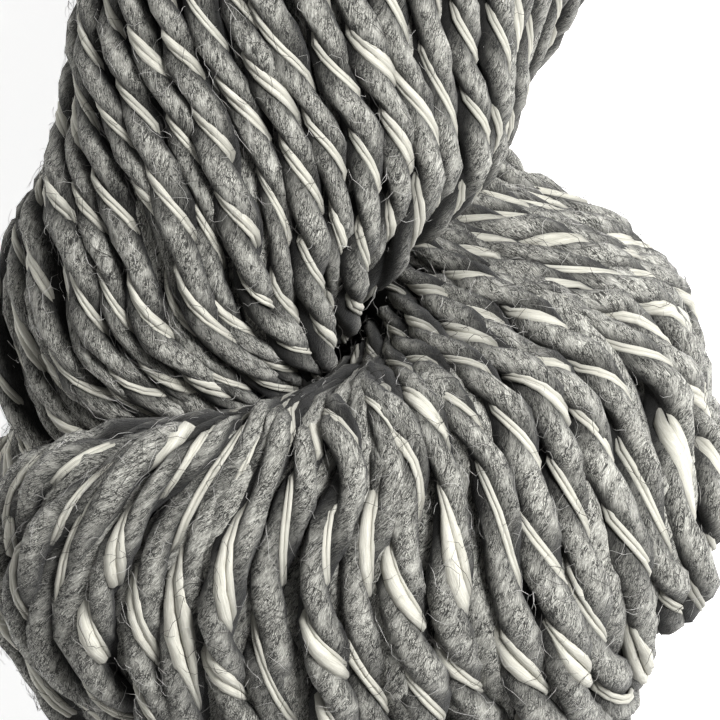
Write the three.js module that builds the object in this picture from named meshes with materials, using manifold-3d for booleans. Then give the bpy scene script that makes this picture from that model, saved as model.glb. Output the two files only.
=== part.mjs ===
// Knitting yarn: a twisted hank of plied wool, lying along Y with its fold ends at -Y and +Y.
// Millimetres, +Z up. The hank is one loop of yarn bundle. Its two halves twist round each other
// three times by half a turn, and the loop turns back on itself at each end.
import * as THREE from "three";
import Module from "manifold-3d";

// Driving sizes
const STRANDS = 34; // rounds of yarn seen side by side on the bundle's skin
const GROOVE = 1.4; // how far the skin dips between two strands
const AXIS_HEIGHT = 40; // the twist's axis above the table
const CONTACT = -1.4; // where the flat side would lie with square corners
const CORNER = 9; // softness of the corners between flat and round side
const ROUND_START = 0.38; // where the round side begins, as a share of the depth
const WIND_BACK = 1.25; // strands wind back against the twist by this share of it
const STATIONS = 17; // rings along one bundle, from the middle to the fold
const FOLD_STATIONS = 8; // rings round the fold
const PROFILE_POINTS = 144; // points of one profile before the strands are laid on it

// The fold: how the loop's section changes on its way round the end
const FOLD = { extraTurn: 12, narrowing: 0.14, slip: 0.15 };

// Sections from the fold line to the middle of the hank.
// y: place along the hank. turn: degrees round it, bundle A at this angle and B opposite it.
// x: sideways shift. wide: half width of a bundle. deep: its reach out from the axis.
// slip: turns by which the strands creep round their bundle. gather: how far they crowd together.
// at: where round the bundle they crowd, as a share of its outline.
const COLUMNS = [
  "y", "turn", "x",
  "wideA", "deepA", "slipA", "gatherA", "atA",
  "wideB", "deepB", "slipB", "gatherB", "atB",
];
const SECTIONS = [
  [-95.0, 77, -2.5, 47, 44, 0.000, 0.36, 0.54, 44, 44, 0.000, 0.10, 0.68],
  [-93.0, 71, -1.5, 45, 44, -0.003, 0.37, 0.58, 42, 44, 0.005, 0.10, 0.68],
  [-90.0, 54, 0, 42, 44, -0.004, 0.41, 0.69, 39, 44, 0.015, 0.12, 0.68],
  [-87.0, 37, 1, 38, 44, -0.006, 0.57, 0.80, 36, 44, 0.030, 0.15, 0.68],
  [-83.0, 15, 0, 34, 46, -0.003, 0.80, 0.87, 33, 45, 0.055, 0.20, 0.68],
  [-79.0, 1, -1, 31, 46, 0.025, 0.84, 0.93, 31, 45, 0.080, 0.25, 0.68],
  [-72.5, -17, -3, 30, 46.5, 0.050, 0.82, 1.01, 30, 44, 0.115, 0.25, 0.68],
  [-66.2, -39, -5, 29, 48, 0.115, 0.60, 1.02, 30, 42, 0.145, 0.20, 0.68],
  [-62.0, -57, -7, 27, 47, 0.148, 0.45, 1.02, 30, 41, 0.165, 0.15, 0.68],
  [-58.0, -74, -8, 25.5, 42, 0.165, 0.25, 1.02, 29, 41, 0.185, 0.10, 0.68],
  [-52.0, -86, -8, 25, 42, 0.190, 0.00, 1.02, 29.3, 42, 0.205, 0.05, 0.68],
  [-44.0, -92, -7.2, 26.5, 43, 0.220, 0.00, 1.02, 30.3, 43, 0.235, 0.00, 0.68],
  [-35.0, -96, -5.3, 29, 44, 0.250, 0.00, 1.02, 32, 44, 0.265, 0.00, 0.68],
  [-20.0, -110, -2.3, 30, 43, 0.300, 0.00, 1.02, 31, 43, 0.310, 0.00, 0.68],
  [-10.0, -138, -1, 30, 43, 0.340, 0.00, 1.02, 30, 43, 0.340, 0.00, 0.68],
  [0.0, -180, 0, 30, 44, 0.390, 0.00, 1.02, 30, 44, 0.390, 0.00, 0.68],
];

const FOLD_Y = SECTIONS[0][0];
const FOLD_ANGLE = SECTIONS[0][1];

// The value of one column at y, on a smooth curve through the rows that never overshoots
function along(name, y) {
  const column = COLUMNS.indexOf(name);
  const count = SECTIONS.length;
  const slopes = [];
  for (let i = 0; i < count - 1; i += 1) {
    slopes.push(
      (SECTIONS[i + 1][column] - SECTIONS[i][column]) / (SECTIONS[i + 1][0] - SECTIONS[i][0]),
    );
  }
  const tangent = (i) => {
    if (i === 0) return slopes[0];
    if (i === count - 1) return slopes[count - 2];
    if (slopes[i - 1] * slopes[i] <= 0) return 0;
    const before = SECTIONS[i][0] - SECTIONS[i - 1][0];
    const after = SECTIONS[i + 1][0] - SECTIONS[i][0];
    const w1 = 2 * after + before;
    const w2 = after + 2 * before;
    return (w1 + w2) / (w1 / slopes[i - 1] + w2 / slopes[i]);
  };
  let i = 0;
  while (i < count - 2 && y >= SECTIONS[i + 1][0]) i += 1;
  const span = SECTIONS[i + 1][0] - SECTIONS[i][0];
  const t = (y - SECTIONS[i][0]) / span;
  return (
    (2 * t ** 3 - 3 * t ** 2 + 1) * SECTIONS[i][column] +
    (t ** 3 - 2 * t ** 2 + t) * span * tangent(i) +
    (-2 * t ** 3 + 3 * t ** 2) * SECTIONS[i + 1][column] +
    (t ** 3 - t ** 2) * span * tangent(i + 1)
  );
}

// Turns of wind of a bundle's strands at y, counted from the fold line
function wind(bundle, y) {
  return along(`slip${bundle}`, y) + (WIND_BACK * (FOLD_ANGLE - along("turn", y))) / 360;
}

// Directions out of the flat side and along it, for an angle round the hank
function outward(angle) {
  return new THREE.Vector3(Math.cos(angle), 0, Math.sin(angle));
}

function sideways(angle) {
  return new THREE.Vector3(-Math.sin(angle), 0, Math.cos(angle));
}

// Places along one bundle: close together where the strands wind fast, wider apart between
function stationPlaces() {
  const fine = 190;
  const measure = [0];
  for (let i = 1; i <= fine; i += 1) {
    const y0 = (FOLD_Y * (i - 1)) / fine;
    const y1 = (FOLD_Y * i) / fine;
    const turns = Math.max(...["A", "B"].map((bundle) => wind(bundle, y0) - wind(bundle, y1)));
    measure.push(measure[i - 1] + (y0 - y1) / 16 + 16 * turns);
  }
  const places = [];
  let i = 0;
  for (let k = 0; k <= STATIONS; k += 1) {
    const goal = (measure[fine] * k) / STATIONS;
    while (i < fine - 1 && measure[i + 1] < goal) i += 1;
    const share = (goal - measure[i]) / (measure[i + 1] - measure[i]);
    places.push((FOLD_Y * (i + share)) / fine);
  }
  return places;
}

// One section of a bundle on the straight part of the hank
function bundleSection(bundle, y) {
  const angle = THREE.MathUtils.degToRad(along("turn", y));
  const sign = bundle === "A" ? 1 : -1;
  return {
    centre: new THREE.Vector3(along("x", y), y, AXIS_HEIGHT),
    out: outward(angle).multiplyScalar(sign),
    side: sideways(angle),
    wide: along(`wide${bundle}`, y),
    deep: along(`deep${bundle}`, y),
    wind: sign * (wind(bundle, y) + FOLD.slip / 2),
    gather: along(`gather${bundle}`, y),
    gatherAt: along(`at${bundle}`, y),
  };
}

// One section on the way round the fold, t going from bundle B (0) to bundle A (1)
function foldSection(t) {
  const b = bundleSection("B", FOLD_Y);
  const a = bundleSection("A", FOLD_Y);
  const sweep = Math.PI * t;
  const blend = t * t * (3 - 2 * t);
  const mix = (from, to) => from * (1 - blend) + to * blend;
  const extra = FOLD.extraTurn * (1 - (1 - Math.sin(sweep)) ** 2.5);
  const angle = THREE.MathUtils.degToRad(FOLD_ANGLE + extra);
  const out = outward(angle).multiplyScalar(-Math.cos(sweep));
  out.y = -Math.sin(sweep);
  return {
    centre: a.centre,
    out,
    side: sideways(angle),
    wide: mix(b.wide, a.wide) * (1 - FOLD.narrowing * Math.sin(sweep) ** 4),
    deep: mix(b.deep, a.deep),
    wind: FOLD.slip * (t - 0.5),
    gather: (t < 0.5 ? b.gather : a.gather) * (1 - Math.sin(sweep)) ** 1.5,
    gatherAt: mix(b.gatherAt, a.gatherAt),
  };
}

// Half of the closed loop: down bundle B from the middle, round the fold, up bundle A
function halfLoop() {
  const places = stationPlaces();
  const down = places.map((y) => bundleSection("B", y));
  const up = places.map((y) => bundleSection("A", y)).reverse();
  const round = [];
  for (let i = 1; i < FOLD_STATIONS; i += 1) round.push(foldSection(i / FOLD_STATIONS));
  const sections = [...down, ...round, ...up];
  const last = sections.length - 1;
  const loose = sections[last].wind - sections[0].wind;
  // a whole number of strands is passed on each half, so that every strand meets the next
  const passed = Math.round(loose * STRANDS);
  const correction = passed / STRANDS - loose;
  sections.forEach((section, i) => {
    section.wind += (correction * i) / last;
  });
  return { sections: sections.slice(0, last), passed };
}

function softMax(value, floor) {
  return 0.5 * (value + floor + Math.hypot(value - floor, CORNER));
}

// The D-shaped outline of a bundle: round side outward, flat side on the hank's axis
function outline({ wide, deep }) {
  const start = ROUND_START * deep;
  const excess = softMax(deep, CONTACT) - deep;
  const points = [];
  for (let i = 0; i <= PROFILE_POINTS; i += 1) {
    const a = -Math.PI + (2 * Math.PI * i) / PROFILE_POINTS;
    const reach = softMax(start + (deep - start) * Math.cos(a), CONTACT);
    points.push([reach - excess * Math.max(0, Math.cos(a)), wide * Math.sin(a)]);
  }
  const lengths = [0];
  for (let i = 1; i <= PROFILE_POINTS; i += 1) {
    const dx = points[i][0] - points[i - 1][0];
    const dy = points[i][1] - points[i - 1][1];
    lengths.push(lengths[i - 1] + Math.hypot(dx, dy));
  }
  return { points, lengths };
}

// A point on an outline at a share of its length, and the outline's direction there
function onOutline({ points, lengths }, share) {
  const whole = lengths[PROFILE_POINTS];
  const goal = (share - Math.floor(share)) * whole;
  let i = 0;
  while (i < PROFILE_POINTS - 1 && lengths[i + 1] < goal) i += 1;
  const step = lengths[i + 1] - lengths[i];
  const t = (goal - lengths[i]) / step;
  const dx = points[i + 1][0] - points[i][0];
  const dy = points[i + 1][1] - points[i][1];
  return {
    reach: points[i][0] + dx * t,
    across: points[i][1] + dy * t,
    along: [dx / step, dy / step],
  };
}

// One ring of skin points: a ridge on each strand and a groove between it and the next
function ring(section) {
  const shape = outline(section);
  const points = [];
  for (let j = 0; j < 2 * STRANDS; j += 1) {
    let share = j / (2 * STRANDS) + section.wind;
    share -= Math.floor(share);
    const fromCrowd = 2 * Math.PI * (share - section.gatherAt);
    share -= (section.gather / (2 * Math.PI)) * Math.sin(fromCrowd);
    const spot = onOutline(shape, share);
    const room = Math.min(1, 1 - section.gather * Math.cos(fromCrowd));
    const dip = j % 2 === 0 ? 0 : GROOVE * room;
    const reach = spot.reach - spot.along[1] * dip;
    const across = spot.across + spot.along[0] * dip;
    points.push(
      section.centre.clone().addScaledVector(section.out, reach).addScaledVector(section.side, across),
    );
  }
  return points;
}

// The whole skin: the half loop and its copy turned by half a turn about Z, joined end to end
function skin() {
  const { sections, passed } = halfLoop();
  const near = sections.map(ring);
  const around = 2 * STRANDS;
  const turned = near.map((points) =>
    points.map((_, j) => {
      const p = points[(j + 2 * passed) % around];
      return new THREE.Vector3(-p.x, -p.y, p.z);
    }),
  );
  const rings = [...near, ...turned];
  const vertices = rings.flat().flatMap((p) => [p.x, p.y, p.z]);
  const triangles = [];
  rings.forEach((_, i) => {
    const closing = i === rings.length - 1;
    const shift = closing ? 4 * passed : 0;
    const here = i * around;
    const next = closing ? 0 : here + around;
    for (let j = 0; j < around; j += 1) {
      const k = (j + 1) % around;
      const a = here + j;
      const b = here + k;
      const c = next + ((j + shift) % around);
      const d = next + ((k + shift) % around);
      triangles.push(a, d, b, a, c, d);
    }
  });
  return { vertices, triangles };
}

const wasm = await Module();
wasm.setup();

// The skin as a solid, pressed flat where the hank's own weight rests it on the table
function hankGeometry() {
  const { vertices, triangles } = skin();
  const loop = new wasm.Manifold(
    new wasm.Mesh({
      numProp: 3,
      vertProperties: new Float32Array(vertices),
      triVerts: new Uint32Array(triangles),
    }),
  );
  const room = wasm.Manifold.cube([200, 400, 200], true).translate([0, 0, 100]);
  const mesh = loop.intersect(room).getMesh();
  const geometry = new THREE.BufferGeometry();
  geometry.setAttribute("position", new THREE.BufferAttribute(mesh.vertProperties, mesh.numProp));
  geometry.setIndex(new THREE.BufferAttribute(mesh.triVerts, 1));
  geometry.computeVertexNormals();
  return geometry;
}

const wool = new THREE.MeshStandardMaterial({ color: 0x8c8b87, roughness: 1, metalness: 0 });

const hank = new THREE.Mesh(hankGeometry(), wool);
hank.name = "hank";

const yarn = new THREE.Group();
yarn.name = "knitting_yarn";
yarn.add(hank);

export default yarn;
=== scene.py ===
import math

import bpy
import numpy as np
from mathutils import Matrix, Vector


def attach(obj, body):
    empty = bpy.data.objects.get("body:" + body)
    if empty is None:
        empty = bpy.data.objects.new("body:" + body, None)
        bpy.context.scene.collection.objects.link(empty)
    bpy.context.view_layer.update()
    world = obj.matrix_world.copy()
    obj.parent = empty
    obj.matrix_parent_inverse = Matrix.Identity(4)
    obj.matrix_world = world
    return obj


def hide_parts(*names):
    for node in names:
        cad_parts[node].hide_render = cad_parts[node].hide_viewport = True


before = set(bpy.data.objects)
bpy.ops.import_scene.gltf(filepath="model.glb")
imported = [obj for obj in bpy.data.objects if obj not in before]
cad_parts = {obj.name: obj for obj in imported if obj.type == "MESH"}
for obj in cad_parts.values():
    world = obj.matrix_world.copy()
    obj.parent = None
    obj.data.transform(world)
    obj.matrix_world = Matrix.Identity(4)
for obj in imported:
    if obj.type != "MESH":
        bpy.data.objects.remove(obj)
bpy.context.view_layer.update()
bpy.ops.object.select_all(action="DESELECT")

# The wound bundle
# The yarn is wound into a ring of many rounds. The ring is twisted on itself by three half turns
# and folded at both ends, so it lies as two thick bundles, A and B, pressed against each other.
# Hardly anything shows of the rounds inside, so one closed body stands for them, in near-black painted shade.
MM = 0.001
AXIS_HEIGHT = 40.0
STRANDS = 34
# A row of the table is one cross section, in millimetres, degrees and turns: its place along the
# hank, bundle A's angle round the hank's axis, the axis's sideways shift, and for each bundle its
# half width, its reach from the axis, how far its strands have crept round it, how much they
# crowd together, and where they do.
COLUMNS = (
    "y", "turn", "x", "wideA", "deepA", "slipA", "gatherA", "atA", "wideB", "deepB", "slipB", "gatherB", "atB"
)
SECTIONS = np.array([
    [-95.0, 77, -2.5, 47, 44, 0.000, 0.36, 0.54, 44, 44, 0.000, 0.10, 0.68],
    [-93.0, 71, -1.5, 45, 44, -0.003, 0.37, 0.58, 42, 44, 0.005, 0.10, 0.68],
    [-90.0, 54, 0, 42, 44, -0.004, 0.41, 0.69, 39, 44, 0.015, 0.12, 0.68],
    [-87.0, 37, 1, 38, 44, -0.006, 0.57, 0.80, 36, 44, 0.030, 0.15, 0.68],
    [-83.0, 15, 0, 34, 46, -0.003, 0.80, 0.87, 33, 45, 0.055, 0.20, 0.68],
    [-79.0, 1, -1, 31, 46, 0.025, 0.84, 0.93, 31, 45, 0.080, 0.25, 0.68],
    [-72.5, -17, -3, 30, 46.5, 0.050, 0.82, 1.01, 30, 44, 0.115, 0.25, 0.68],
    [-66.2, -39, -5, 29, 48, 0.115, 0.60, 1.02, 30, 42, 0.145, 0.20, 0.68],
    [-62.0, -57, -7, 27, 47, 0.148, 0.45, 1.02, 30, 41, 0.165, 0.15, 0.68],
    [-58.0, -74, -8, 25.5, 42, 0.165, 0.25, 1.02, 29, 41, 0.185, 0.10, 0.68],
    [-52.0, -86, -8, 25, 42, 0.190, 0.00, 1.02, 29.3, 42, 0.205, 0.05, 0.68],
    [-44.0, -92, -7.2, 26.5, 43, 0.220, 0.00, 1.02, 30.3, 43, 0.235, 0.00, 0.68],
    [-35.0, -96, -5.3, 29, 44, 0.250, 0.00, 1.02, 32, 44, 0.265, 0.00, 0.68],
    [-20.0, -110, -2.3, 30, 43, 0.300, 0.00, 1.02, 31, 43, 0.310, 0.00, 0.68],
    [-10.0, -138, -1, 30, 43, 0.340, 0.00, 1.02, 30, 43, 0.340, 0.00, 0.68],
    [0.0, -180, 0, 30, 44, 0.390, 0.00, 1.02, 30, 44, 0.390, 0.00, 0.68],
])
FOLD = {"extra_turn": 12, "narrowing": 0.14, "slip": 0.15}
# the strands wind back round a bundle by this share of the hank's own twist
WIND_BACK = 1.25
# the place of a bundle's flat side, how rounded its corners are, and where its round side starts
CONTACT, CORNER, ROUND_START = -1.4, 9.0, 0.38
FOLD_Y, FOLD_ANGLE = SECTIONS[0][0], SECTIONS[0][1]


def along(name, y):
    """A column's value at y, on a smooth curve through the rows that never overshoots."""
    places, values = SECTIONS[:, 0], SECTIONS[:, COLUMNS.index(name)]
    gaps = np.diff(places)
    slopes = np.diff(values) / gaps
    tangents = np.concatenate(([slopes[0]], np.zeros(len(values) - 2), [slopes[-1]]))
    for i in range(1, len(values) - 1):
        if slopes[i - 1] * slopes[i] > 0:
            left, right = 2 * gaps[i] + gaps[i - 1], gaps[i] + 2 * gaps[i - 1]
            tangents[i] = (left + right) / (left / slopes[i - 1] + right / slopes[i])
    i = np.clip(np.searchsorted(places, y, side="right") - 1, 0, len(gaps) - 1)
    t = (y - places[i]) / gaps[i]
    rise = (t**3 - 2 * t**2 + t) * tangents[i] + (t**3 - t**2) * tangents[i + 1]
    return values[i] + (3 * t**2 - 2 * t**3) * (values[i + 1] - values[i]) + gaps[i] * rise


def axes_at(degrees):
    """The direction out of a bundle's flat side, and the one along that side."""
    angle = np.radians(degrees)
    out = np.stack((np.cos(angle), 0 * angle, np.sin(angle)), axis=-1)
    side = np.stack((-np.sin(angle), 0 * angle, np.cos(angle)), axis=-1)
    return out, side


def bundle_sections(bundle, y):
    """The sections of one bundle at the places y."""
    sign = 1 if bundle == "A" else -1
    turn = along("turn", y)
    out, side = axes_at(turn)
    wind = along("slip" + bundle, y) + WIND_BACK * (FOLD_ANGLE - turn) / 360
    return {
        "centre": np.stack((along("x", y), y, np.full_like(y, AXIS_HEIGHT)), axis=-1),
        "out": sign * out,
        "side": side,
        "wide": along("wide" + bundle, y),
        "deep": along("deep" + bundle, y),
        "wind": sign * (wind + FOLD["slip"] / 2),
        "gather": along("gather" + bundle, y),
        "gather_at": along("at" + bundle, y),
    }


def fold_sections(t):
    """The sections on the way round the fold, t from 0 at bundle B to 1 at bundle A."""
    y = np.full_like(t, FOLD_Y)
    a, b = bundle_sections("A", y), bundle_sections("B", y)
    sweep = np.pi * t
    blend = t * t * (3 - 2 * t)
    extra = FOLD["extra_turn"] * (1 - (1 - np.sin(sweep)) ** 2.5)
    narrowed = 1 - FOLD["narrowing"] * np.sin(sweep) ** 4
    out, side = axes_at(FOLD_ANGLE + extra)
    out = -out * np.cos(sweep)[:, None]
    out[:, 1] = -np.sin(sweep)
    return {
        "centre": a["centre"],
        "out": out,
        "side": side,
        "wide": (b["wide"] * (1 - blend) + a["wide"] * blend) * narrowed,
        "deep": b["deep"] * (1 - blend) + a["deep"] * blend,
        "wind": FOLD["slip"] * (t - 0.5),
        "gather": np.where(t < 0.5, b["gather"], a["gather"]) * (1 - np.sin(sweep)) ** 1.5,
        "gather_at": b["gather_at"] * (1 - blend) + a["gather_at"] * blend,
    }


def soft_max(value, floor):
    """The larger of the two, with a rounded corner where they meet."""
    return 0.5 * (value + floor + np.hypot(value - floor, CORNER))


def outline(wide, deep, count=145):
    """The D-shaped outline of a bundle: its reach and its place across, and the length so far."""
    angle = np.linspace(-np.pi, np.pi, count)
    start = ROUND_START * deep
    excess = soft_max(deep, CONTACT) - deep
    reach = soft_max(start + (deep - start) * np.cos(angle), CONTACT)
    reach = reach - excess * np.maximum(0, np.cos(angle))
    across = wide * np.sin(angle)
    length = np.concatenate(([0], np.cumsum(np.hypot(np.diff(reach), np.diff(across)))))
    return reach, across, length


down = np.linspace(0, FOLD_Y, 80)
parts = (
    bundle_sections("B", down),
    fold_sections(np.linspace(0, 1, 60)[1:-1]),
    bundle_sections("A", down[::-1]),
)
half_loop = {name: np.concatenate([part[name] for part in parts]) for name in parts[0]}
# in half a loop the strands creep round by a whole number of places, so each goes on as another
crept = half_loop["wind"][-1] - half_loop["wind"][0]
PASSED = round(crept * STRANDS)
half_loop["wind"] += (PASSED / STRANDS - crept) * np.linspace(0, 1, len(half_loop["wind"]))
outlines = [outline(wide, deep) for wide, deep in zip(half_loop["wide"], half_loop["deep"])]
# the other half of the loop is this one, turned by half a turn about the upright axis
HALF_TURN = np.array([-1.0, -1.0, 1.0])

CORE_INSET = 5.6
CORE_AROUND = 56
CORE_EVERY = 3
rings = []
for i in range(0, len(outlines) - 1, CORE_EVERY):
    reach, across, length = outlines[i]
    spots = np.linspace(0, length[-1], CORE_AROUND, endpoint=False)
    ahead = (spots + 1.0) % length[-1]
    behind = (spots - 1.0) % length[-1]
    way = np.stack((
        np.interp(ahead, length, reach) - np.interp(behind, length, reach),
        np.interp(ahead, length, across) - np.interp(behind, length, across),
    ), axis=-1)
    way /= np.linalg.norm(way, axis=1)[:, None]
    inner_reach = np.maximum(np.interp(spots, length, reach) - way[:, 1] * CORE_INSET, 0.4)
    inner_across = np.interp(spots, length, across) + way[:, 0] * CORE_INSET
    out, side = half_loop["out"][i], half_loop["side"][i]
    rings.append(half_loop["centre"][i] + inner_reach[:, None] * out + inner_across[:, None] * side)
rings = np.array(rings)
rings = np.concatenate((rings, rings * HALF_TURN))
rings[:, :, 2] = np.maximum(rings[:, :, 2], CORE_INSET)
count = len(rings)
quads = [
    (i * CORE_AROUND + j, i * CORE_AROUND + (j + 1) % CORE_AROUND,
     (i + 1) % count * CORE_AROUND + (j + 1) % CORE_AROUND, (i + 1) % count * CORE_AROUND + j)
    for i in range(count)
    for j in range(CORE_AROUND)
]
mesh = bpy.data.meshes.new("inner_rounds")
mesh.from_pydata((rings.reshape(-1, 3) * MM).tolist(), [], quads)
core = bpy.data.objects.new("inner_rounds", mesh)
bpy.context.collection.objects.link(core)
bpy.context.view_layer.objects.active = core
core.select_set(True)
bpy.ops.object.mode_set(mode="EDIT")
bpy.ops.mesh.select_all(action="SELECT")
bpy.ops.mesh.normals_make_consistent(inside=False)
bpy.ops.object.mode_set(mode="OBJECT")
bpy.ops.object.shade_smooth()
core.select_set(False)

# the inner rounds' grey wool, coloured near black as painted shade
painted_shade_core = bpy.data.materials.new("painted_shade_core")
painted_shade_core.use_nodes = True
nodes, links = painted_shade_core.node_tree.nodes, painted_shade_core.node_tree.links
shader = nodes["Principled BSDF"]
shader.inputs["Roughness"].default_value = 1.0
place = nodes.new("ShaderNodeTexCoord")
mottle = nodes.new("ShaderNodeTexNoise")
mottle.inputs["Scale"].default_value = 400
# near black is painted shade, not the wool's own grey
tone = nodes.new("ShaderNodeValToRGB")
tone.color_ramp.elements[0].color = (0.02, 0.02, 0.018, 1)
tone.color_ramp.elements[1].color = (0.06, 0.059, 0.054, 1)
links.new(place.outputs["Object"], mottle.inputs["Vector"])
links.new(mottle.outputs["Fac"], tone.inputs["Fac"])
links.new(tone.outputs["Color"], shader.inputs["Base Color"])
core.data.materials.append(painted_shade_core)
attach(core, "root")
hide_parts("hank")

# The grey wool
# The yarn's body is two thick, softly spun plies of grey wool, laid together to the left (S twist)
# with a full turn in 29 mm. It is about 6 mm across, and wider and looser over the two ends. The
# rounds follow one another, and only the lengths not buried between the bundles are made.
STRAND_RADIUS = 2.95
THINNEST = 1.5
PITCH = 28.8
STEP = PITCH / 14
PLY_RADIUS, PLY_APART = 1.84, 1.20
# with less room than CROWDED_ROOM strands begin to crowd, and every other one sinks, by up to SINKING
CROWDED_ROOM, CROWDED_OVER, SINKING = 4.8, 2.4, 1.7
# how far a strand strays to the side, and in and out
STRAY = 0.6
# the two ends begin this far from the hank's middle, and the strands change over this length
END_FROM, END_OVER = 72, 22
# the gaps between the thick places of a white thread, and the lengths of these, from and to
SLUB_GAP, SLUB_LENGTH = (4, 44), (12, 32)
started = set()
chance = np.random.default_rng(27)


def on_skin(share):
    """One strand on half the loop: points, directions out, reach from the axis, how far across."""
    points, normals, reaches, spread = [], [], [], []
    for i, (reach, across, length) in enumerate(outlines):
        gather, at = half_loop["gather"][i], half_loop["gather_at"][i]
        turned = (share + half_loop["wind"][i]) % 1.0
        turned = (turned - gather / (2 * np.pi) * np.sin(2 * np.pi * (turned - at))) % 1.0
        here = turned * length[-1]
        spots = np.array([here, (here + 0.6) % length[-1], (here - 0.6) % length[-1]])
        reach, across = np.interp(spots, length, reach), np.interp(spots, length, across)
        way = np.array([reach[1] - reach[2], across[1] - across[2]])
        way /= np.hypot(*way)
        out, side = half_loop["out"][i], half_loop["side"][i]
        points.append(half_loop["centre"][i] + out * reach[0] + side * across[0])
        normals.append(out * way[1] - side * way[0])
        reaches.append(reach[0])
        spread.append(abs(across[0]) / half_loop["wide"][i])
    return np.array(points), np.array(normals), np.array(reaches), np.array(spread)


def unit(vectors):
    """The same directions, each of length 1."""
    return vectors / np.linalg.norm(vectors, axis=-1, keepdims=True)


def drift(count, length, amount):
    """A slow random change along the yarn, its waves about length millimetres long."""
    width = max(2, int(length / STEP))
    bell = np.hanning(2 * width + 1)
    noise = np.convolve(chance.normal(size=count + 2 * width), bell, mode="valid")
    return amount * noise / np.sqrt((bell**2).sum())


def slubs(even):
    """How thick the two white threads of a pair are along the yarn: 0, with soft thick places up to 1."""
    thick = np.zeros((len(even), 2))
    at = 0.0
    while at < even[-1]:
        at += chance.uniform(*SLUB_GAP)
        length = chance.uniform(*SLUB_LENGTH)
        for thread, share in enumerate((1.0, chance.choice((0.0, 0.5, 0.9)))):
            shift = chance.uniform(-3, 3) * thread
            t = np.clip((even - at - shift) / length, 0, 1)
            swell = share * chance.uniform(0.5, 1.0) * np.sin(np.pi * t) ** 0.6
            thick[:, thread] = np.maximum(thick[:, thread], swell)
        at += length
    return thick


def half_round(share):
    """Half a round of yarn on the skin: points, directions out, room to its neighbours, buried or not."""
    skin, out, reach, spread = on_skin(share)
    left = on_skin(share - 0.5 / STRANDS)[0]
    right = on_skin(share + 0.5 / STRANDS)[0]
    ahead = unit(np.gradient(skin, axis=0))
    gap = right - left
    room = np.linalg.norm(gap - ahead * np.sum(gap * ahead, axis=1)[:, None], axis=1)
    # it is buried in the middle of the bundle's flat side, against the other bundle
    buried = (reach < 4) & (spread < 0.5)
    return skin[:-1], out[:-1], room[:-1], buried[:-1]


def long_run(first):
    """The rounds that follow one another, from round number first until it comes back."""
    rounds = []
    strand = first
    while True:
        rounds.append(half_round(strand / STRANDS))
        skin, out, room, buried = half_round((strand + PASSED) / STRANDS)
        rounds.append((skin * HALF_TURN, out * HALF_TURN, room, buried))
        started.add(strand)
        strand = (strand + 2 * PASSED) % STRANDS
        if strand == first:
            return [np.concatenate(part) for part in zip(*rounds)]


def lay_yarn(first, depth=0.0):
    """The visible lengths of one long run, in even steps, with a little waywardness."""
    skin, out, room, buried = long_run(first)
    start = int(np.argmax(buried))
    skin, out, room, buried = (np.roll(part, -start, axis=0) for part in (skin, out, room, buried))
    length = np.concatenate(([0], np.cumsum(np.linalg.norm(np.diff(skin, axis=0), axis=1))))
    even = np.arange(0, length[-1], STEP)
    count = len(even)
    soften = np.hanning(9)[1:-1] / np.hanning(9).sum()

    def resample(values):
        steady = np.interp(even, length, values)
        return np.convolve(np.pad(steady, 3, mode="edge"), soften, mode="valid")

    skin = np.stack([resample(skin[:, i]) for i in range(3)], axis=-1)
    out = unit(np.stack([resample(out[:, i]) for i in range(3)], axis=-1))
    room = resample(room)
    hidden = np.interp(even, length, buried.astype(float)) > 0.5
    # where the strands crowd together, every other one sinks and lets its neighbours keep their size
    crowded = np.clip((CROWDED_ROOM - room) / CROWDED_OVER, 0, 1)
    sinks = first % 2 == 1
    # the strands are pulled flatter and wider over the two ends, and are thinner between them
    at_end = np.clip((np.abs(skin[:, 1]) - END_FROM) / END_OVER, 0, 1)
    thickness = room * (0.56 + (0 if sinks else 0.3) * crowded)
    thickness = np.maximum(np.minimum(thickness, STRAND_RADIUS * (1.01 + 0.17 * at_end)), THINNEST)
    depth = depth * (1 - 0.2 * at_end) + (SINKING * crowded if sinks else 0)
    ahead = unit(np.gradient(skin, axis=0))
    aside = unit(np.cross(ahead, out))
    looseness = 1 + 0.5 * at_end
    sideways = drift(count, 22, STRAY) * looseness
    inwards = drift(count, 18, STRAY) * looseness - thickness - depth
    points = skin + out * inwards[:, None] + aside * sideways[:, None]
    points[:, 2] = np.maximum(points[:, 2], thickness)
    ahead = unit(np.gradient(points, axis=0))
    out = unit(out - ahead * np.sum(out * ahead, axis=1)[:, None])
    radius = thickness * (1 + drift(count, 12, 0.08))
    # the plies turn more slowly and less evenly over the two ends
    uneven = drift(count, 40, 1.0) * (0.14 + 0.12 * at_end)
    turned = 2 * np.pi * STEP / PITCH * (1.06 - 0.24 * at_end) * np.clip(1 + uneven, 0.45, 1.6)
    # along gives each run its own stretch of the pattern, pair is how far the white threads wander
    # in their groove, and shy is how readily they sink into it
    run = {
        "points": points,
        "out": out,
        "aside": np.cross(ahead, out),
        "along": even + 3000 * first,
        "radius": radius,
        "turn": -np.cumsum(turned),
        "slubs": np.concatenate((slubs(even), slubs(even)), axis=-1) * (0.65 + 0.85 * at_end)[:, None],
        "pair": drift(count, 25, math.radians(7)),
        "shy": drift(count, 30, 0.12),
        "waves": np.stack([drift(count, 5, 0.035) for _ in range(5)], axis=-1),
    }
    edges = np.flatnonzero(np.diff(np.concatenate(([1], hidden.astype(int), [1]))))
    return [
        {name: values[max(0, begin - 2):end + 2] for name, values in run.items()}
        for begin, end in edges.reshape(-1, 2)
        if end - begin > 5
    ]


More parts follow.
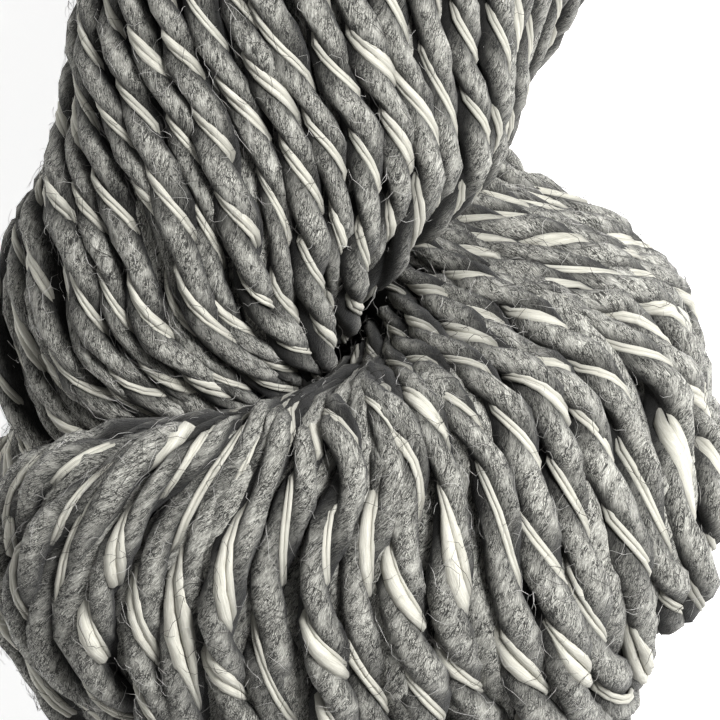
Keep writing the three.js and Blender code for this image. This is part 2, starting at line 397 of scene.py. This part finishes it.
def thread_mesh(name, lengths, section, angles, turning=False):
    """One closed tube for each length of yarn, section giving its ring of points at each step."""
    points, faces, uvs, rises, total = [], [], [], [], 0
    sides = len(angles)
    around = np.arange(sides)
    beside = (around + 1) % sides
    edges = np.append(angles, angles[0] + 2 * np.pi) / (2 * np.pi)
    for yarn in lengths:
        rings = section(yarn, angles)
        # how far a place stands out of the strand's middle, for the painted shade between the strands: less
        # in the grooves between the plies, so painted shade falls there too, and a little more over the two
        # ends
        from_middle = rings - yarn["points"][:, None]
        rise = np.sum(from_middle * yarn["out"][:, None], axis=-1) / yarn["radius"][:, None]
        if turning:
            rise = rise * (1 - 0.5 * np.cos(angles) ** 2)
        rises.append(rise + 0.05 * np.clip((np.abs(rings[..., 1]) - 78) / 16, 0, 1))
        # each length closes to a small point, and nothing goes below the table
        middle = rings.mean(axis=1, keepdims=True)
        rings[[0, -1]] += 0.9 * (middle - rings)[[0, -1]]
        rings[..., 2] = np.maximum(rings[..., 2], 0)
        count = len(rings)
        row = total + sides * np.arange(count - 1)[:, None]
        quads = np.stack((row + around, row + beside, row + sides + beside, row + sides + around), axis=-1)
        u = np.repeat(yarn["along"][:, None] * MM, sides + 1, axis=1)
        v = edges + (yarn["turn"][:, None] / (2 * np.pi) if turning else np.zeros((count, 1)))
        corners = np.stack((u, v), axis=-1)
        uvs.append(np.stack(
            (corners[:-1, :-1], corners[:-1, 1:], corners[1:, 1:], corners[1:, :-1]), axis=2
        ).reshape(-1))
        faces += quads.reshape(-1, 4).tolist()
        faces += [(total + around[::-1]).tolist(), (total + sides * (count - 1) + around).tolist()]
        uvs.append(np.zeros(4 * sides))
        points.append(rings.reshape(-1, 3))
        total += count * sides
    mesh = bpy.data.meshes.new(name)
    mesh.from_pydata((np.concatenate(points) * MM).tolist(), [], faces)
    mesh.uv_layers.new(name="UVMap").data.foreach_set("uv", np.concatenate(uvs).astype(np.float32))
    rises = np.concatenate([rise.reshape(-1) for rise in rises]).astype(np.float32)
    mesh.attributes.new("rise", "FLOAT", "POINT").data.foreach_set("value", rises)
    mesh.shade_smooth()
    thread = bpy.data.objects.new(name, mesh)
    bpy.context.collection.objects.link(thread)
    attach(thread, "root")
    return thread


# the angles of a wool ring's points from one groove, closer together at the two grooves
PLY_ANGLES = np.radians([0, 16, 35, 68, 112, 145, 164])
PLY_ANGLES = np.concatenate((PLY_ANGLES, PLY_ANGLES + np.pi))


def wool_section(yarn, angles):
    """The wool's ring: two plies side by side, dented at the two grooves, a little lumpy."""
    waves = yarn["waves"]
    lumps = waves[:, :1] + waves[:, 1:2] * np.cos(angles) + waves[:, 2:3] * np.sin(angles)
    lumps = lumps + waves[:, 3:4] * np.cos(3 * angles) + waves[:, 4:5] * np.sin(3 * angles)
    plies = PLY_APART * np.abs(np.sin(angles)) + np.sqrt(PLY_RADIUS**2 - (PLY_APART * np.cos(angles)) ** 2)
    reach = yarn["radius"][:, None] * (lumps + plies / STRAND_RADIUS)
    placed = angles + yarn["turn"][:, None]
    return (
        yarn["points"][:, None]
        + (reach * np.cos(placed))[..., None] * yarn["out"][:, None]
        + (reach * np.sin(placed))[..., None] * yarn["aside"][:, None]
    )


yarn_lengths = [length for first in range(STRANDS) if first not in started for length in lay_yarn(first)]

# The lay of the fibres is one node group for wool and cotton, on the strand's own UV map. It gives
# the light and dark along the fibres, slow patches, and masks for dark and light hairs.
fibre_lay = bpy.data.node_groups.new("fibre_lay", "ShaderNodeTree")
for socket in ("Turns", "Fineness"):
    fibre_lay.interface.new_socket(socket, in_out="INPUT", socket_type="NodeSocketFloat")
for socket in ("Fibres", "Patches", "Dark Hairs", "Light Hairs"):
    fibre_lay.interface.new_socket(socket, in_out="OUTPUT", socket_type="NodeSocketFloat")
nodes, links = fibre_lay.nodes, fibre_lay.links
inlet, outlet = nodes.new("NodeGroupInput"), nodes.new("NodeGroupOutput")
place = nodes.new("ShaderNodeUVMap")
place.uv_map = "UVMap"
split = nodes.new("ShaderNodeSeparateXYZ")
links.new(place.outputs["UV"], split.inputs["Vector"])


def calculate(operation, *values):
    """A Math node with links or numbers at its inputs."""
    step = nodes.new("ShaderNodeMath")
    step.operation = operation
    for socket, value in zip(step.inputs, values):
        if isinstance(value, (int, float)):
            socket.default_value = value
        else:
            links.new(value, socket)
    return step.outputs[0]


# the fibres wind round the strand, so a fibre's angle grows with its length
wound = calculate("MULTIPLY_ADD", split.outputs["X"], inlet.outputs["Turns"], split.outputs["Y"])
angle = calculate("MULTIPLY", wound, 2 * math.pi)


def round_strand(stretch):
    """A place on the strand, its length in metres times stretch, for a pattern that closes round it."""
    spot = nodes.new("ShaderNodeCombineXYZ")
    links.new(calculate("MULTIPLY", split.outputs["X"], stretch), spot.inputs["X"])
    links.new(calculate("COSINE", angle), spot.inputs["Y"])
    links.new(calculate("SINE", angle), spot.inputs["Z"])
    return spot.outputs[0]


def texture(spot, scale, detail, roughness, distortion):
    """A Noise Texture node at a place on the strand."""
    noise = nodes.new("ShaderNodeTexNoise")
    noise.inputs["Scale"].default_value = scale
    noise.inputs["Detail"].default_value = detail
    noise.inputs["Roughness"].default_value = roughness
    noise.inputs["Distortion"].default_value = distortion
    links.new(spot, noise.inputs["Vector"])
    return noise


def fine_lines(spot, scale, bend, thin):
    """Thin lines where a bent noise crosses its middle."""
    noise = texture(spot, scale, 1.5, 0.5, bend)
    ridge = calculate("ABSOLUTE", calculate("SUBTRACT", noise.outputs["Fac"], 0.5))
    return calculate("MAXIMUM", calculate("SUBTRACT", 1.0, calculate("MULTIPLY", ridge, thin)), 0.0)


combed, curled = round_strand(75), round_strand(220)
fibres = texture(combed, 10, 3, 0.6, 0.8)
links.new(inlet.outputs["Fineness"], fibres.inputs["Scale"])
links.new(fibres.outputs["Fac"], outlet.inputs["Fibres"])
links.new(texture(curled, 1.1, 4, 0.6, 0.5).outputs["Fac"], outlet.inputs["Patches"])
# the dark hairs come in bunches
bunched = calculate("SUBTRACT", texture(curled, 2.0, 1, 0.5, 0).outputs["Fac"], 0.25)
bunched = calculate("MAXIMUM", calculate("MULTIPLY", bunched, 3.5), 0.0)
bunched = calculate("MINIMUM", bunched, 1.0)
dark = calculate("MAXIMUM", fine_lines(combed, 5.0, 2.0, 19), fine_lines(curled, 3.2, 2.0, 21))
dark = calculate("MAXIMUM", dark, calculate("MULTIPLY", fine_lines(combed, 9.0, 1.5, 16), 0.7))
links.new(calculate("MULTIPLY", dark, bunched), outlet.inputs["Dark Hairs"])
light = calculate("MAXIMUM", fine_lines(combed, 6.5, 1.5, 20), fine_lines(curled, 4.2, 1.5, 24))
links.new(light, outlet.inputs["Light Hairs"])


def fibre_material(name, turns, fineness, colours, dark_share, light_share, painted_gap_shade, relief):
    """Wool or cotton: coloured along its fibres, with dark and light hairs, and painted shade in the gaps."""
    material = bpy.data.materials.new(name)
    material.use_nodes = True
    nodes, links = material.node_tree.nodes, material.node_tree.links
    shader = nodes["Principled BSDF"]
    shader.inputs["Specular IOR Level"].default_value = 0.15
    shader.inputs["Sheen Weight"].default_value = 0.1
    shader.inputs["Sheen Roughness"].default_value = 0.6
    lay = nodes.new("ShaderNodeGroup")
    lay.node_tree = fibre_lay
    lay.inputs["Turns"].default_value = turns
    lay.inputs["Fineness"].default_value = fineness
    # painted shade: darker where the surface lies deep between strands or in the ply grooves, a little
    # lighter on the tops
    rise = nodes.new("ShaderNodeAttribute")
    rise.attribute_name = "rise"
    tone = nodes.new("ShaderNodeValToRGB")
    stops = tone.color_ramp.elements
    while len(stops) < len(colours):
        stops.new(0.5)
    for stop, (position, colour) in zip(stops, colours):
        stop.position, stop.color = position, (*colour, 1)
    links.new(lay.outputs["Fibres"], tone.inputs["Fac"])
    colour = tone.outputs["Color"]
    # each mask, the two values it goes between, and the shade it gives there
    for source, low, high, low_shade, high_shade in (
        (lay.outputs["Patches"], 0.3, 0.7, 0.92, 1.08),
        (lay.outputs["Light Hairs"], 0.0, 1.0, 1.0, 1.0 + light_share),
        (lay.outputs["Dark Hairs"], 0.0, 0.8, 1.0, 1.0 - dark_share),
        # painted shade deep in the gaps, and a slight painted highlight on the tops
        (rise.outputs["Fac"], 0.1, 1.0, painted_gap_shade, 1.08),
    ):
        shade = nodes.new("ShaderNodeMapRange")
        shade.interpolation_type = "SMOOTHSTEP"
        limits = (low, high, low_shade, high_shade)
        for socket, value in zip(("From Min", "From Max", "To Min", "To Max"), limits):
            shade.inputs[socket].default_value = value
        links.new(source, shade.inputs["Value"])
        mix = nodes.new("ShaderNodeMix")
        mix.data_type = "RGBA"
        mix.blend_type = "MULTIPLY"
        mix.inputs["Factor"].default_value = 1.0
        links.new(colour, mix.inputs["A"])
        links.new(shade.outputs["Result"], mix.inputs["B"])
        colour = mix.outputs["Result"]
    links.new(colour, shader.inputs["Base Color"])
    rough = nodes.new("ShaderNodeMapRange")
    rough.inputs["To Min"].default_value = 0.75
    rough.inputs["To Max"].default_value = 1.0
    links.new(lay.outputs["Fibres"], rough.inputs["Value"])
    links.new(rough.outputs["Result"], shader.inputs["Roughness"])
    bump = nodes.new("ShaderNodeBump")
    bump.inputs["Strength"].default_value = relief
    bump.inputs["Distance"].default_value = 0.0003
    links.new(lay.outputs["Fibres"], bump.inputs["Height"])
    links.new(bump.outputs["Normal"], shader.inputs["Normal"])
    return material


# the wool's painted shade goes down to 0.03 of its colour deep between the strands
grey_wool = fibre_material(
    "grey_wool", turns=-26, fineness=18.0, dark_share=0.92, light_share=0.45, painted_gap_shade=0.03, relief=0.7,
    colours=[
        (0.35, (0.22, 0.218, 0.195)), (0.45, (0.30, 0.297, 0.268)), (0.52, (0.37, 0.366, 0.331)),
        (0.59, (0.44, 0.435, 0.395)), (0.68, (0.54, 0.532, 0.488)),
    ],
)
# the wool is made in three parts, so that no piece grows too large
WOOL_PARTS = 3
for part in range(WOOL_PARTS):
    lengths = yarn_lengths[part::WOOL_PARTS]
    wool = thread_mesh(f"grey_wool_{part + 1}", lengths, wool_section, PLY_ANGLES, turning=True)
    wool.data.materials.append(grey_wool)

# The rounds beneath
# Under the outer rounds of yarn lie more, one step lower and half a strand to the side. They show
# only as dim strands in the gaps, so they are made plain and round, in longer steps.
UNDER_DEPTH = 3.3
UNDER_STEPS = 3
FEW_ANGLES = np.arange(6) * np.pi / 3


def plain_section(yarn, angles):
    """A round ring."""
    return (
        yarn["points"][:, None]
        + (yarn["radius"][:, None] * np.cos(angles))[..., None] * yarn["out"][:, None]
        + (yarn["radius"][:, None] * np.sin(angles))[..., None] * yarn["aside"][:, None]
    )


under_lengths = [
    {name: values[::UNDER_STEPS] for name, values in length.items()}
    for first in range(STRANDS) if first + 0.5 not in started
    for length in lay_yarn(first + 0.5, UNDER_DEPTH)
    if len(length["along"]) > 9
]
beneath = thread_mesh("under_wool", under_lengths, plain_section, FEW_ANGLES)
beneath.data.materials.append(grey_wool)

# The white threads
# Two off-white cotton threads lie side by side in each groove, thin, with soft flat thick places
# of 2 mm and more. One has them all, the other only some. They come up over the front of the
# strand and sink between the plies at its sides; what lies buried there isn't made.
THIN_RADIUS, SLUB_WIDTH, SLUB_HEIGHT = 0.33, 1.0, 0.8
WHITE_REACH, WHITE_SINK = 1.88, 0.95
PASS_POINTS = 9


def passes(groove):
    """The lengths where one groove's threads cross the front of a strand, with points close together."""
    found = []
    for yarn in yarn_lengths:
        turn = yarn["turn"] + yarn["pair"] + np.pi * groove
        front = np.cos(turn) > 0.12
        edges = np.flatnonzero(np.diff(np.concatenate(([0], front.astype(int), [0]))))
        for begin, end in edges.reshape(-1, 2):
            begin, end = max(begin - 1, 0), min(end, len(turn) - 1)
            if end - begin < 3:
                continue
            fine, rows = np.linspace(begin, end, PASS_POINTS), np.arange(len(turn))
            piece = {}
            for name, values in yarn.items():
                columns = values.reshape(len(values), -1).T
                smooth = np.stack([np.interp(fine, rows, column) for column in columns], axis=-1)
                piece[name] = smooth.reshape((PASS_POINTS,) + values.shape[1:])
            found.append(piece)
    return found


def white_section(groove, slubby):
    """The ring of one thread of a groove's pair: the slub thread, or the thinner one beside it."""
    def section(yarn, angles):
        first, second = yarn["slubs"][:, 2 * groove], yarn["slubs"][:, 2 * groove + 1]
        turn = yarn["turn"] + yarn["pair"] + np.pi * groove
        thick = first if slubby else second
        sunk = np.clip((0.6 - 0.2 * thick + yarn["shy"] - np.cos(turn)) / 0.5, 0, 1)
        sunk = sunk * sunk * (3 - 2 * sunk)
        taper = np.clip(np.cos(turn), 0, 1) ** 0.6 * (1 - 0.5 * sunk)
        thick = thick * taper
        apart = (2 * THIN_RADIUS + (SLUB_WIDTH - THIN_RADIUS) * (first + second) * taper) / WHITE_REACH
        turn = turn + (-0.46 if slubby else 0.46) * apart
        swing = yarn["out"] * np.cos(turn)[:, None] + yarn["aside"] * np.sin(turn)[:, None]
        size = yarn["radius"] / STRAND_RADIUS
        reach = size * (WHITE_REACH + 0.1 * thick - WHITE_SINK * sunk**1.5)
        middle = yarn["points"] + swing * reach[:, None]
        ahead = unit(np.gradient(middle, axis=0))
        swing = unit(swing - ahead * np.sum(swing * ahead, axis=1)[:, None])
        across = np.cross(ahead, swing)
        wide = (THIN_RADIUS + (SLUB_WIDTH - THIN_RADIUS) * thick) * np.sqrt(size)
        high = (THIN_RADIUS + (SLUB_HEIGHT - THIN_RADIUS) * thick) * np.sqrt(size)
        return (
            middle[:, None]
            + (high[:, None] * np.cos(angles))[..., None] * swing[:, None]
            + (wide[:, None] * np.sin(angles))[..., None] * across[:, None]
        )
    return section


# the cotton's painted shade goes down to 0.35 of its colour where it sinks between the plies
white_cotton = fibre_material(
    "white_cotton", turns=0, fineness=5.0, dark_share=0.15, light_share=0.0, painted_gap_shade=0.35, relief=0.3,
    colours=[(0.28, (0.48, 0.465, 0.395)), (0.5, (0.60, 0.585, 0.51)), (0.7, (0.70, 0.69, 0.62))],
)
for groove in range(2):
    for name, slubby, sides in (("white_thread", False, 5), ("white_slub", True, 6)):
        angles = np.arange(sides) * 2 * np.pi / sides
        thread = thread_mesh(f"{name}_{groove + 1}", passes(groove), white_section(groove, slubby), angles)
        thread.data.materials.append(white_cotton)

# The stray hairs
# Wool sheds fine hairs all over, some light, some nearly black and coarser. They lie loosely along
# the strands and bridge the gaps between them. More are made on the end that is seen from close by.
SEEN_END = -35
MORE_SEEN = 4.0
HAIR_SIDES = 3


def stray_hairs(name, count, radius, points, longest, colours):
    """Fine hairs that start on the wool and wander over it, thinner towards both ends."""
    chance = np.random.default_rng(count)
    weights = np.array([
        len(yarn["along"]) * (MORE_SEEN if yarn["points"][:, 1].mean() < SEEN_END else 1.0)
        for yarn in yarn_lengths
    ])
    picks = chance.choice(len(yarn_lengths), size=count, p=weights / weights.sum())
    t = np.linspace(0, 1, points)
    paths, outs = [], []
    for pick in picks:
        yarn = yarn_lengths[pick]
        last = len(yarn["along"]) - 1.001
        step = chance.uniform(0.25, 1.0) * longest / (points - 1)
        heading = chance.normal(0, 0.8) + np.cumsum(chance.normal(0, 0.7, points))
        if chance.random() < 0.5:
            heading += np.pi
        # of two places on the yarn, a hair starts at the one that faces up more
        starts = chance.uniform(0, last, 2)
        start = max(starts, key=lambda place: yarn["out"][int(place), 2])
        at = np.clip(start + np.cumsum(np.cos(heading)) * step / STEP, 0, last)
        angle = chance.normal(0, 0.7) + np.cumsum(np.sin(heading)) * step / (STRAND_RADIUS + 0.3)
        before, share = at.astype(int), (at % 1)[:, None]
        middle, out, aside = (
            yarn[key][before] * (1 - share) + yarn[key][before + 1] * share
            for key in ("points", "out", "aside")
        )
        swing = out * np.cos(angle)[:, None] + aside * np.sin(angle)[:, None]
        lift = chance.uniform(0.0, 0.5) * np.sin(np.pi * t) + max(0, chance.normal(0, 0.5)) * t**2
        path = middle + swing * (yarn["radius"][before] + lift)[:, None]
        path[:, 2] = np.maximum(path[:, 2], 0.1)
        paths.append(path)
        outs.append(swing)
    paths, outs = np.array(paths), np.array(outs)
    ahead = unit(np.gradient(paths, axis=1))
    swing = unit(outs - ahead * np.sum(outs * ahead, axis=-1, keepdims=True))
    across = np.cross(ahead, swing)
    size = radius * (0.25 + 0.75 * np.sin(np.pi * (0.1 + 0.8 * t)))[:, None]
    rings = np.stack([
        paths + size * (math.cos(angle) * swing + math.sin(angle) * across)
        for angle in 2 * np.pi * np.arange(HAIR_SIDES) / HAIR_SIDES
    ], axis=2)
    around = np.arange(HAIR_SIDES)
    beside = (around + 1) % HAIR_SIDES
    first = HAIR_SIDES * points * np.arange(count)[:, None]
    row = first[:, None] + HAIR_SIDES * np.arange(points - 1)[:, None]
    above = row + HAIR_SIDES
    quads = np.stack([row + around, row + beside, above + beside, above + around], axis=-1)
    ends = first + around[::-1]
    tips = first + HAIR_SIDES * (points - 1) + around
    faces = quads.reshape(-1, 4).tolist() + ends.tolist() + tips.tolist()
    mesh = bpy.data.meshes.new(name)
    mesh.from_pydata((rings.reshape(-1, 3) * MM).tolist(), [], faces)
    mesh.shade_smooth()
    hairs = bpy.data.objects.new(name, mesh)
    bpy.context.collection.objects.link(hairs)
    material = bpy.data.materials.new(name)
    material.use_nodes = True
    nodes, links = material.node_tree.nodes, material.node_tree.links
    shader = nodes["Principled BSDF"]
    shader.inputs["Roughness"].default_value = 0.6
    shader.inputs["Specular IOR Level"].default_value = 0.3
    place = nodes.new("ShaderNodeTexCoord")
    noise = nodes.new("ShaderNodeTexNoise")
    noise.inputs["Scale"].default_value = 300
    tone = nodes.new("ShaderNodeValToRGB")
    for stop, position, colour in zip(tone.color_ramp.elements, (0.4, 0.6), colours):
        stop.position, stop.color = position, (*colour, 1)
    links.new(place.outputs["Object"], noise.inputs["Vector"])
    links.new(noise.outputs["Fac"], tone.inputs["Fac"])
    links.new(tone.outputs["Color"], shader.inputs["Base Color"])
    mesh.materials.append(material)
    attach(hairs, "root")


stray_hairs("dark_hairs", 4300, 0.040, 7, 9.0, ((0.012, 0.011, 0.010), (0.05, 0.047, 0.044)))
stray_hairs("light_hairs", 4300, 0.029, 5, 6.0, ((0.30, 0.295, 0.28), (0.60, 0.59, 0.57)))

# The table, the light and the camera
# The hank lies on a pale plain table, which glows a little and so comes out nearly white. It is
# seen from straight above, from close by, with soft light from the right.
bpy.ops.mesh.primitive_plane_add(size=4, location=(0, 0, 0))
table = bpy.context.object
table.name = "table"
pale = bpy.data.materials.new("pale_table")
pale.use_nodes = True
shader = pale.node_tree.nodes["Principled BSDF"]
shader.inputs["Base Color"].default_value = (0.95, 0.95, 0.95, 1)
shader.inputs["Roughness"].default_value = 0.8
shader.inputs["Emission Color"].default_value = (1, 1, 1, 1)
shader.inputs["Emission Strength"].default_value = 0.75
table.data.materials.append(pale)

world = bpy.data.worlds.new("studio")
bpy.context.scene.world = world
world.use_nodes = True
surroundings = world.node_tree.nodes["Background"]
surroundings.inputs["Color"].default_value = (1, 1, 1, 1)
surroundings.inputs["Strength"].default_value = 0.20

for name, place, aim, size, watts in (
    ("window", (0.40, 0.16, 0.76), (0, -0.08, 0.04), 0.30, 13.0),
    ("fill", (-0.50, 0.15, 0.75), (0, -0.08, 0.04), 0.7, 0.4),
):
    lamp = bpy.data.lights.new(name, "AREA")
    lamp.size = size
    lamp.energy = watts
    light = bpy.data.objects.new(name, lamp)
    bpy.context.collection.objects.link(light)
    light.location = place
    way = np.array(aim) - np.array(place)
    light.rotation_euler = Vector(way).to_track_quat("-Z", "Y").to_euler()

# the picture is FRAME_WIDTH wide at the height of the strands in front, with SEEN_Y in its middle
SEEN_Y = -0.080
CAMERA_HEIGHT = 1.00
FRAME_WIDTH = 0.090
FRONT_HEIGHT = 0.050
SENSOR_WIDTH = 36
lens = bpy.data.cameras.new("camera")
lens.sensor_width = SENSOR_WIDTH
lens.lens = SENSOR_WIDTH * (CAMERA_HEIGHT - FRONT_HEIGHT) / FRAME_WIDTH
lens.clip_start = 0.01
camera = bpy.data.objects.new("camera", lens)
bpy.context.collection.objects.link(camera)
camera.location = (0, SEEN_Y, CAMERA_HEIGHT)
camera.rotation_euler = (0, 0, 0)
bpy.context.scene.camera = camera
bpy.context.scene.view_settings.view_transform = "Standard"
